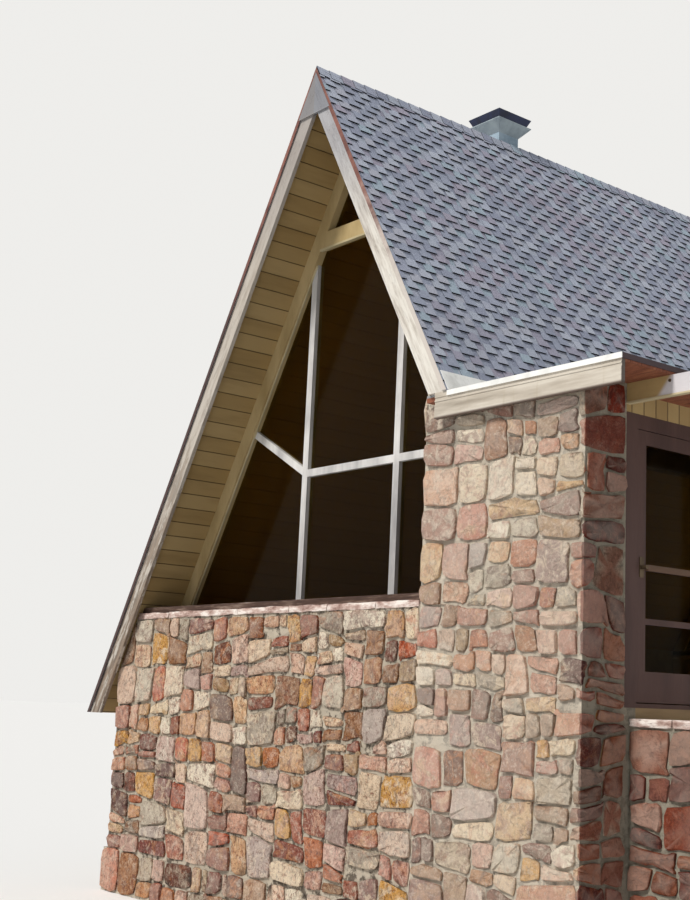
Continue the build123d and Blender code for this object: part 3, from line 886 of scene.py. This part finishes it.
def dress_stones(piece, out, seed):
    """Roughen the outlines of flat cells, raise each into a stone and roughen its face."""
    out = Vector(out)
    flat = level_of(piece, out)
    bpy.ops.mesh.select_mode(type="VERT")
    everything()
    bpy.ops.transform.vertex_random(offset=OUTLINE_WANDER, seed=seed + 5)
    everything()
    press = tuple(0 if abs(c) > 0.5 else 1 for c in out)
    bpy.ops.transform.resize(value=press, center_override=out * flat)
    # Joints, without stubby edges and slivers
    bpy.ops.mesh.select_mode(type="FACE")
    everything()
    bpy.ops.mesh.inset(thickness=JOINT, use_individual=True, use_even_offset=False)
    bpy.ops.mesh.select_all(action="INVERT")
    bpy.ops.mesh.delete(type="FACE")
    bpy.ops.mesh.select_mode(type="VERT")
    everything()
    bpy.ops.mesh.dissolve_degenerate(threshold=SHORT_EDGE)
    everything()
    bpy.ops.mesh.dissolve_limited(angle_limit=math.radians(6))
    pick(piece, is_sliver)
    bpy.ops.mesh.delete(type="FACE")
    # Rounded corners
    bpy.ops.mesh.select_mode(type="VERT")
    everything()
    bpy.ops.mesh.bevel(offset_type="PERCENT", offset_pct=CORNER_PERCENT, affect="VERTICES",
                       segments=2, profile=0.68)
    settle(piece)
    everything()
    bpy.ops.mesh.dissolve_degenerate(threshold=SHORT_ARC)
    settle(piece)
    everything()
    bpy.ops.transform.vertex_random(offset=CORNER_WANDER, seed=seed)
    # Raised stones, some further out than others, with domed rough faces
    bpy.ops.mesh.select_mode(type="FACE")
    everything()
    bpy.ops.transform.translate(value=out * -SUNK)
    bpy.ops.mesh.extrude_region_move(TRANSFORM_OT_translate={"value": out * (PROUD + SUNK)})
    settle(piece)
    for turn, lift in enumerate(LIFTS):
        pick_some(piece, out, seed + turn)
        bpy.ops.transform.translate(value=out * lift)
    pick(piece, lambda f: f.normal.dot(out) > 0.6)
    bpy.ops.mesh.inset(thickness=RIM, depth=DOME, use_individual=True, use_even_offset=False)
    bpy.ops.mesh.poke(offset=DOME)
    settle(piece)
    pick(piece, lambda v: v.co.dot(out) > flat + FACE_START, "verts")
    bpy.ops.transform.vertex_random(offset=FACE_WANDER, seed=seed + 9)


def is_sliver(face):
    """Too small or too thin to be laid as a stone."""
    area = face.calc_area()
    return area < SMALL_AREA or area / face.calc_perimeter() ** 2 < THIN_SHARE


def level_of(piece, out):
    """How far out the flat cells lie."""
    mesh = bmesh.from_edit_mesh(piece.data)
    return sum(v.co.dot(out) for v in mesh.verts) / len(mesh.verts)


def pick_some(piece, out, seed):
    """Select the raised faces of about half the stones."""
    draw = random.Random(seed)
    pick(piece, lambda f: f.normal.dot(out) > 0.9 and draw.random() < 0.5)


def fold(piece, corner, side, turn):
    """Carry stones that run past a corner round it, from the face along side to the next one."""
    corner = Vector(corner)
    side = Vector(side)
    everything()
    cut(corner, side)
    pick(piece, lambda v: (v.co - corner).dot(side) > NEAR, "verts")
    bpy.ops.transform.rotate(value=turn, orient_axis="Z", center_override=corner)
    pick(piece, lambda v: abs((v.co - corner).dot(side)) < NEAR, "verts")
    bpy.ops.transform.rotate(value=turn / 2, orient_axis="Z", center_override=corner)
    mitre(piece, corner)


def mitre(piece, corner):
    """Push the points that lie over the corner line out to a mitre."""

    def over(v):
        flat = Vector((v.co.x - corner.x, v.co.y - corner.y))
        return flat.length < 0.06 and abs(abs(flat.x) - abs(flat.y)) < NEAR

    pick(piece, over, "verts")
    bpy.ops.transform.resize(value=(math.sqrt(2), math.sqrt(2), 1), center_override=corner)


def finish_stones(piece, rises, seed):
    """Tones for the stones, and how far each point has risen above the joint."""
    settle(piece)
    mode("OBJECT")
    give_tones(piece, seed)
    close(piece, "stone", angle=20)
    level = []
    for v in piece.data.vertices:
        above = max(v.co.dot(out) - flat for out, flat in rises)
        level.append(min(2.5, max(0.0, above / FULL_RISE)))
    store(piece, "rise", "POINT", level)


def stone_face(name, corner, along, length, height, seed, cuts=(), bend=None):
    """Rubble on one wall face; bend takes the last stretch round a corner."""
    piece, out = lay_stones(name, corner, along, length, height, seed, cuts)
    flat = level_of(piece, out)
    dress_stones(piece, out, seed)
    rises = [(out, flat)]
    if bend:
        at, turn = bend
        fold(piece, at, along, turn)
        out2 = Matrix.Rotation(-turn, 3, "Z") @ out
        rises.append((out2, Vector(at).dot(out2)))
    finish_stones(piece, rises, seed)


# A point and the normal of the plane under the left deck, which ends the stones there
UNDER_LEFT = ((0, 0, RIDGE_Z - SOFFIT_DROP - 0.015), (-SLOPE / UPRIGHT, 0, 1 / UPRIGHT))
WALL_TOP = LOW_WALL_Z - 0.01
FLAT_UNDER = FLAT_Z - 0.02
FOOT_X = LEFT_X - FOOTING_OUT
LONG = BACK_Y - FRONT_Y
LEFT_TOP = RIDGE_Z - SOFFIT_DROP + SLOPE * LEFT_X - 0.02

RIGHT, LEFT, BACKWARD, FORWARD = (1, 0, 0), (-1, 0, 0), (0, 1, 0), (0, -1, 0)
LOW_LONG = TALL_WALL_X - LEFT_X
TALL_LONG = RIGHT_X - TALL_WALL_X
LEDGE_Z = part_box("front_ledge")[0].z
INNER_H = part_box("front_tall_wall")[1].z - 0.03 - LEDGE_Z
INNER_LONG = 0.484
FRONT_RETURN = 0.44
BACK_RETURN = 0.45
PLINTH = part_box("right_plinth")
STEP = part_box("entrance_step")
STEP_H = STEP[1].z - 0.07
STEP_LONG = STEP[1] - STEP[0]

stone_face("front_low_stones", (LEFT_X, FRONT_Y, FOOTING_H), RIGHT, LOW_LONG,
           WALL_TOP - FOOTING_H, 11, [UNDER_LEFT])
stone_face("front_foot_stones", (FOOT_X, FRONT_Y, 0), RIGHT, TALL_WALL_X - FOOT_X, FOOTING_H, 12)
stone_face("front_tall_stones", (TALL_WALL_X, FRONT_Y, 0), RIGHT, TALL_LONG + FRONT_RETURN,
           FLAT_UNDER, 13, bend=((RIGHT_X, FRONT_Y, 0), -QUARTER))
stone_face("back_low_stones", (TALL_WALL_X, BACK_Y, 0), LEFT, LOW_LONG, WALL_TOP, 14, [UNDER_LEFT])
stone_face("back_tall_stones", (RIGHT_X, BACK_Y, 0), LEFT, TALL_LONG, FLAT_UNDER, 18)
stone_face("back_return_stones", (RIGHT_X, BACK_Y - BACK_RETURN, 0), BACKWARD, BACK_RETURN,
           FLAT_UNDER, 19)
stone_face("left_stones", (LEFT_X, BACK_Y, FOOTING_H), FORWARD, LONG, LEFT_TOP - FOOTING_H, 15)
stone_face("left_foot_stones", (FOOT_X, BACK_Y, 0), FORWARD, LONG, FOOTING_H, 16)
stone_face("front_inner_stones", (TALL_WALL_X, -0.006, LEDGE_Z), FORWARD, INNER_LONG, INNER_H, 24)
stone_face("back_inner_stones", (TALL_WALL_X, BACK_Y, LEDGE_Z), FORWARD, INNER_LONG, INNER_H, 25)
stone_face("right_stones", (RIGHT_X, PLINTH[0].y, 0), BACKWARD,
           BACK_Y - BACK_RETURN - PLINTH[0].y, PLINTH[1].z, 17)
stone_face("step_front_stones", (STEP[0].x, STEP[0].y, 0), RIGHT, STEP_LONG.x, STEP_H, 31)
stone_face("step_back_stones", (STEP[1].x, STEP[1].y, 0), LEFT, STEP_LONG.x, STEP_H, 32)
stone_face("step_side_stones", (STEP[1].x, STEP[0].y, 0), BACKWARD, STEP_LONG.y, STEP_H, 33)


SLAB_PARTS = 6
SLAB_JOINT = 0.008
SLAB_WANDER = 0.009
SLAB_WEAR = 0.006


def lay_slabs(name, x, y, z, seed, lengths, cuts=()):
    """Flat slabs side by side from x[0] to x[1], with rough edges and thin joints."""
    draw = random.Random(seed)
    piece = start("cube", name, size=1)
    everything()
    bpy.ops.mesh.delete(type="VERT")
    at = x[0]
    middle_y, deep = (y[0] + y[1]) / 2, y[1] - y[0]
    while at < x[1] - 0.05:
        wide = min(draw.uniform(*lengths), x[1] - at)
        if x[1] - at - wide < lengths[0] * 0.5:
            wide = x[1] - at
        spot = (at + wide / 2, middle_y, (z[0] + z[1]) / 2)
        bpy.ops.mesh.primitive_cube_add(size=1, location=spot)
        size = (wide - SLAB_JOINT, deep, z[1] - z[0] - draw.uniform(0.0, 0.006))
        bpy.ops.transform.resize(value=size, center_override=spot)
        for i in range(1, SLAB_PARTS):
            everything()
            cut((at + wide * (i + draw.uniform(-0.25, 0.25)) / SLAB_PARTS, 0, 0), RIGHT)
        everything()
        cut((0, 0, spot[2] + draw.uniform(-0.006, 0.006)), (0, 0, 1))
        everything()
        bpy.ops.transform.vertex_random(offset=SLAB_WANDER, seed=draw.randrange(1, 9999))
        bpy.ops.mesh.hide()
        at += wide
    bpy.ops.mesh.reveal()
    for point, normal in cuts:
        trim(point, normal)
    mode("OBJECT")
    worn = piece.modifiers.new("worn_edges", "BEVEL")
    worn.width = SLAB_WEAR
    worn.segments = 2
    worn.angle_limit = math.radians(40)
    apply_modifiers(piece)
    give_tones(piece, seed)
    return close(piece, "cap_stone", angle=45)


for end in ("front", "back"):
    node = f"{end}_cap_stones"
    low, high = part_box(node)
    slabs = lay_slabs(f"{end}_cap_slabs", (low.x, high.x), (low.y, high.y),
                      (low.z - 0.004, high.z), 41, (0.45, 1.0), [UNDER_LEFT])
    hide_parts(node)
lay_slabs("step_slabs", (STEP[0].x, STEP[1].x + 0.03), (STEP[0].y - 0.02, STEP[1].y + 0.02),
          (STEP[1].z - 0.055, STEP[1].z + 0.004), 42, (0.3, 0.45))


# ---------------------------------------------------------------- shingles


TAB_ROWS = 4
TAB_LAP = 0.018
TAB_THICK = 0.014
TAB_STEP = 0.222
TAB_WIDTHS = (0.11, 0.12, 0.13, 0.14, 0.15)
RIDGE_GAP = 0.01


def tab_row(piece, low, y0, y1, shift, draw):
    """One course of raised wedge-shaped tabs of mixed width, butts towards -X."""
    high = low + COURSE + TAB_LAP
    middle = ((low + high) / 2, (y0 + y1) / 2, 0)
    bpy.ops.mesh.primitive_plane_add(size=1, location=middle)
    bpy.ops.transform.resize(value=(high - low, y1 - y0, 1), center_override=middle)
    tabs = []
    spot = y0 - draw.uniform(0.0, 0.02) + shift
    while spot < y1 + 0.1:
        centre = spot + draw.uniform(-0.03, 0.03)
        wide = draw.choice(TAB_WIDTHS)
        tabs.append((centre - wide / 2, centre + wide / 2))
        for line in tabs[-1]:
            if y0 + 0.01 < line < y1 - 0.01:
                everything()
                cut((0, line, 0), BACKWARD)
        spot += TAB_STEP

    def is_gap(face):
        spot = face.calc_center_median()
        return not face.hide and not any(a < spot.y < b for a, b in tabs)

    pick(piece, is_gap)
    bpy.ops.mesh.delete(type="FACE")
    everything()
    bpy.ops.mesh.edge_split(type="EDGE")
    everything()
    bpy.ops.mesh.extrude_region_move(TRANSFORM_OT_translate={"value": (0, 0, TAB_THICK)})
    pick(piece, lambda v: not v.hide and v.co.x > high - 0.001 and v.co.z > TAB_THICK / 2, "verts")
    bpy.ops.transform.translate(value=(0, 0, 0.001 - TAB_THICK))
    everything()
    bpy.ops.mesh.hide()


def lay_tabs(name, side, foot_z, seed):
    """Courses of tabs up one slope, in a group of four that repeats up to the ridge."""
    draw = random.Random(seed)
    y0, y1 = ROOF_Y
    piece = start("plane", name, size=1, location=(0, 0, 0))
    everything()
    bpy.ops.mesh.delete(type="VERT")
    for row in range(TAB_ROWS):
        tab_row(piece, row * COURSE, y0, y1, row % 2 * TAB_STEP / 2, draw)
    bpy.ops.mesh.reveal()
    mode("OBJECT")
    foot_x = roof_x(foot_z, 0)
    group = TAB_ROWS * COURSE
    repeat(piece, "courses", (group, 0, 0), math.ceil(foot_x * UPRIGHT / group))
    up = Vector((-side, 0, SLOPE)) / UPRIGHT
    out = Vector((side * SLOPE, 0, 1)) / UPRIGHT
    start_at = Vector((side * foot_x, 0 if side < 0 else y0 + y1, foot_z))
    move_mesh(piece, Matrix.Translation(start_at) @ axes_of(up, out))
    trim((side * RIDGE_GAP, 0, 0), (-side, 0, 0))
    mode("OBJECT")
    give_tones(piece, seed)
    close(piece, "shingle", angle=20)
    faces = piece.data.polygons
    # Painted shade: full on the butts that face down the roof, half on the tab sides
    butts = [1.0 if f.normal.dot(up) < -0.7 else 0.5 * (abs(f.normal.y) > 0.7) for f in faces]
    store(piece, "butt_shade", "FACE", butts)


RIGHT_FOOT_Z = FLAT_TOP_Z + 0.004
lay_tabs("left_shingle_tabs", -1, EAVE_Z, 21)
lay_tabs("right_shingle_tabs", 1, RIGHT_FOOT_Z, 22)


def ridge_shingles():
    """Folded cap shingles along the ridge, each over the next one back."""
    leg, gap, count = 0.12, 0.145, 66
    leg_x, leg_z = leg / UPRIGHT, leg * SLOPE / UPRIGHT
    piece = sized("plane", "ridge_shingles", (2 * leg_x, 2 * gap, 1))
    everything()
    cut((0, 0, 0), RIGHT)
    pick(piece, lambda v: abs(v.co.x) > leg_x / 2, "verts")
    bpy.ops.transform.translate(value=(0, 0, -leg_z))
    pick(piece, lambda v: v.co.y < 0, "verts")
    bpy.ops.transform.translate(value=(0, 0, 0.016))
    everything()
    bpy.ops.transform.translate(value=(0, ROOF_Y[0] + gap, RIDGE_Z + 0.014))
    mode("OBJECT")
    thick = piece.modifiers.new("thickness", "SOLIDIFY")
    thick.thickness = 0.012
    thick.offset = -1
    repeat(piece, "caps", (0, gap, 0), count)
    mode("EDIT")
    trim((0, ROOF_Y[1], 0), BACKWARD)
    mode("OBJECT")
    give_tones(piece, 23)
    close(piece, "shingle", angle=20)
    faces = piece.data.polygons
    # Painted shade on the caps' forward ends and on the lower edges of their legs
    store(piece, "butt_shade", "FACE", [float(f.normal.y < -0.9 or f.normal.z < -0.6) for f in faces])
    return piece


caps = ridge_shingles()
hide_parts("ridge_cap")


# ---------------------------------------------------------------- trim


def slope_bar(name, paint, side, depth, y, foot_z, bevel=0.002, top_z=None):
    """A bar down one slope between two depths, mitred at the ridge or cut off at top_z."""
    down = Vector((side, 0, -SLOPE)) / UPRIGHT
    out = Vector((side * SLOPE, 0, 1)) / UPRIGHT
    length = roof_x(foot_z, 0) * UPRIGHT + 0.6
    piece = sized("cube", name, (length, y[1] - y[0], depth[1] - depth[0]))
    ridge = Vector((0, (y[0] + y[1]) / 2, RIDGE_Z))
    middle = ridge + down * (length / 2 - 0.3) - out * (sum(depth) / 2)
    move_mesh(piece, Matrix.Translation(middle) @ axes_of(down, out))
    trim((0, 0, 0), (-side, 0, 0))
    trim((0, 0, foot_z), (0, 0, -1))
    if top_z:
        trim((roof_x(top_z, 0) * side, 0, top_z), -down)
    edges_off(bevel)
    close(piece, paint)


DRIP_THICK = 0.006
DRIP_DEPTH = (-0.004, 0.040)
for end, face_y, sign in (("front", ROOF_Y[0], -1), ("back", ROOF_Y[1], 1)):
    y = sorted((face_y, face_y + sign * DRIP_THICK))
    for word, side, foot in (("left", -1, EAVE_Z), ("right", 1, RIGHT_FOOT_Z)):
        slope_bar(f"{end}_{word}_drip_edge", "drip", side, DRIP_DEPTH, y, foot)


def batten(name, low, high):
    """A plain bar between two corners."""
    low, high = Vector(low), Vector(high)
    piece = sized("cube", name, high - low)
    bpy.ops.transform.translate(value=(low + high) / 2)
    edges_off(0.002)
    close(piece, "batten")


BEAD = (RAFTER_DROP / UPRIGHT, RAFTER_DROP / UPRIGHT + 0.011)
for end, face, sign in (("front", 0, -1), ("back", 1, 1)):
    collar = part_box(f"{end}_collar")
    low_z = collar[0].z
    reach = roof_x(low_z, RAFTER_DROP) + 0.01
    y = sorted((collar[face].y + sign * 0.008, collar[face].y - sign * 0.03))
    batten(f"{end}_collar_batten", (-reach, y[0], low_z - 0.018), (reach, y[1], low_z + 0.004))
    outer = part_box(f"{end}_window_frame")[face].y
    y = sorted((outer + sign * 0.016, outer - sign * 0.004))
    for word, side, foot in (("left", -1, LEDGE_Z + 0.06), ("right", 1, 4.58)):
        slope_bar(f"{end}_{word}_glass_bead", "batten", side, BEAD, y, foot,
                  top_z=low_z)

low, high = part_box("porch_beam")
batten("porch_beam_batten", (low.x, low.y - 0.01, low.z - 0.012), (high.x, high.y, low.z + 0.003))
slope_bar("slope_apron", "white", 1, (-0.022, -0.018), ROOF_Y, FLAT_TOP_Z + 0.003,
          bevel=0.0005, top_z=4.68)

plug = start("cylinder", "beam_plug", vertices=16, radius=0.013, depth=0.006,
             location=(3.86, low.y - 0.002, 4.41), rotation=(QUARTER, 0, 0))
edges_off(0.001)
close(plug, "latch")


# ---------------------------------------------------------------- stage

bpy.ops.object.select_all(action="DESELECT")
bpy.ops.mesh.primitive_plane_add(size=400, location=(0, 0, -0.002))
ground = bpy.context.object
ground.name = "pale_floor"
pale = Paint("pale_floor", 0.1)
pale.feed(pale.shader.inputs["Base Color"], (0.87, 0.87, 0.865, 1))
pale.feed(pale.shader.inputs["Roughness"], 0.9)
ground.data.materials.append(pale.material)

world = bpy.data.worlds.new("soft_room")
bpy.context.scene.world = world
world.use_nodes = True
sky = world.node_tree
light = sky.nodes["Background"]
light.inputs["Color"].default_value = (0.93, 0.96, 1.0, 1)
light.inputs["Strength"].default_value = 0.33
backdrop = sky.nodes.new("ShaderNodeBackground")
backdrop.inputs["Color"].default_value = (0.86, 0.852, 0.83, 1)
# The backdrop shows to the camera, in gloss and through glass, and gives no light
seen = sky.nodes.new("ShaderNodeLightPath").outputs
shown = seen["Is Camera Ray"]
for ray in ("Is Glossy Ray", "Is Transmission Ray"):
    most = sky.nodes.new("ShaderNodeMath")
    most.operation = "MAXIMUM"
    sky.links.new(shown, most.inputs[0])
    sky.links.new(seen[ray], most.inputs[1])
    shown = most.outputs[0]
either = sky.nodes.new("ShaderNodeMixShader")
sky.links.new(shown, either.inputs[0])
sky.links.new(light.outputs[0], either.inputs[1])
sky.links.new(backdrop.outputs[0], either.inputs[2])
sky.links.new(either.outputs[0], sky.nodes["World Output"].inputs["Surface"])

key = bpy.data.lights.new("key", "SUN")
key.energy = 3.0
key.angle = math.radians(12)
key.color = (1.0, 0.97, 0.92)
key_lamp = bpy.data.objects.new("key", key)
bpy.context.scene.collection.objects.link(key_lamp)
key_lamp.rotation_euler = Vector((-0.02, -0.8, 0.85)).to_track_quat("Z", "Y").to_euler()

# The view fitted to the photograph: turns in radians, focal length and axis in its pixels
YAW, LIFT, ROLL = 0.8658, 0.1837, 0.0371
FOCAL, AXIS_X = 1360.14, 420
IMAGE_WIDE, IMAGE_HIGH = 690, 900
camera = bpy.data.cameras.new("camera")
camera.sensor_width = 36
camera.lens = FOCAL * camera.sensor_width / IMAGE_HIGH
camera.shift_x = (IMAGE_WIDE / 2 - AXIS_X) / IMAGE_HIGH
camera.clip_start = 0.1
camera.clip_end = 500
eye = bpy.data.objects.new("camera", camera)
bpy.context.scene.collection.objects.link(eye)
look = Matrix.Rotation(YAW, 4, "Z") @ Matrix.Rotation(QUARTER + LIFT, 4, "X")
spot = Matrix.Translation((10.0479, -7.6752, 2.0289))
eye.matrix_world = spot @ look @ Matrix.Rotation(ROLL, 4, "Z")
bpy.context.scene.camera = eye
bpy.context.scene.view_settings.view_transform = "Standard"
